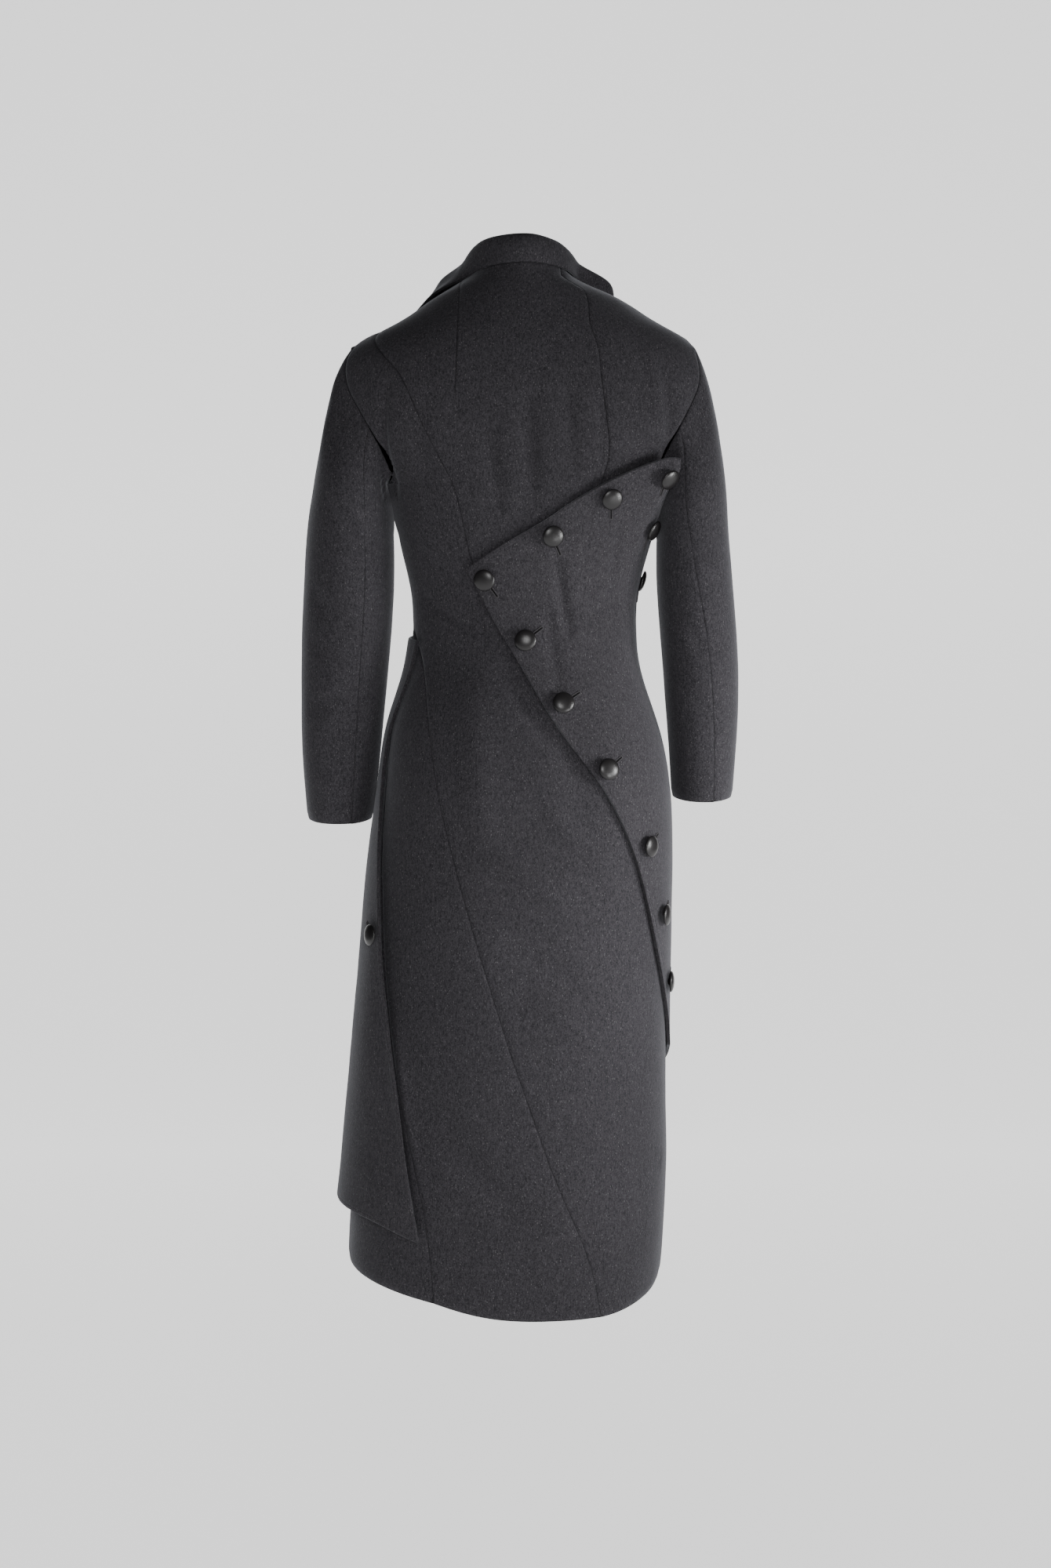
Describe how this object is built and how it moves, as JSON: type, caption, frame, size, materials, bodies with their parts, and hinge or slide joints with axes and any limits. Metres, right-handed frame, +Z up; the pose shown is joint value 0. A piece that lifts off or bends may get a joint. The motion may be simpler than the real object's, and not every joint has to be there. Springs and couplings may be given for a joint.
{
  "type": "wool coat",
  "caption": "Fitted midi wool coat in its worn, hollow form, with a turned-down collar, two-piece sleeves and a big overlay panel buttoned over the right back.",
  "frame": {"origin": "between the shoulders, at the level where the wearer's shoulders carry the coat", "axes": "+Z up, +X to the wearer's right, and the back faces -Y"},
  "size_m": [0.5158, 0.2853, 1.236],
  "materials": {
    "coat_wool": "felted charcoal wool, short nap",
    "overlay_wool": "felted charcoal wool, short nap",
    "button_satin": "satin black-brown"
  },
  "bodies": {
    "root": {"back_centre": "coat_wool", "back_lower": "coat_wool", "back_right_side": "coat_wool", "back_spiral": "coat_wool", "collar": "coat_wool", "front_left": "coat_wool", "front_right": "coat_wool", "skirt_left_side": "coat_wool", "sleeve_left_under": "coat_wool", "sleeve_left_upper": "coat_wool", "sleeve_right_under": "coat_wool", "sleeve_right_upper": "coat_wool", "overlay_flap": "overlay_wool", "overlay_front": "overlay_wool", "overlay_wing": "overlay_wool", "button_back_1": "button_satin", "button_back_2": "button_satin", "button_back_3": "button_satin", "button_back_4": "button_satin", "button_back_5": "button_satin", "button_back_6": "button_satin", "button_corner": "button_satin", "button_flap": "button_satin", "button_front_1": "button_satin", "button_front_2": "button_satin", "button_front_3": "button_satin", "button_front_4": "button_satin", "button_front_5": "button_satin", "button_front_6": "button_satin", "button_front_7": "button_satin", "button_top_1": "button_satin", "button_top_2": "button_satin", "button_top_3": "button_satin"}
  },
  "joints": []
}
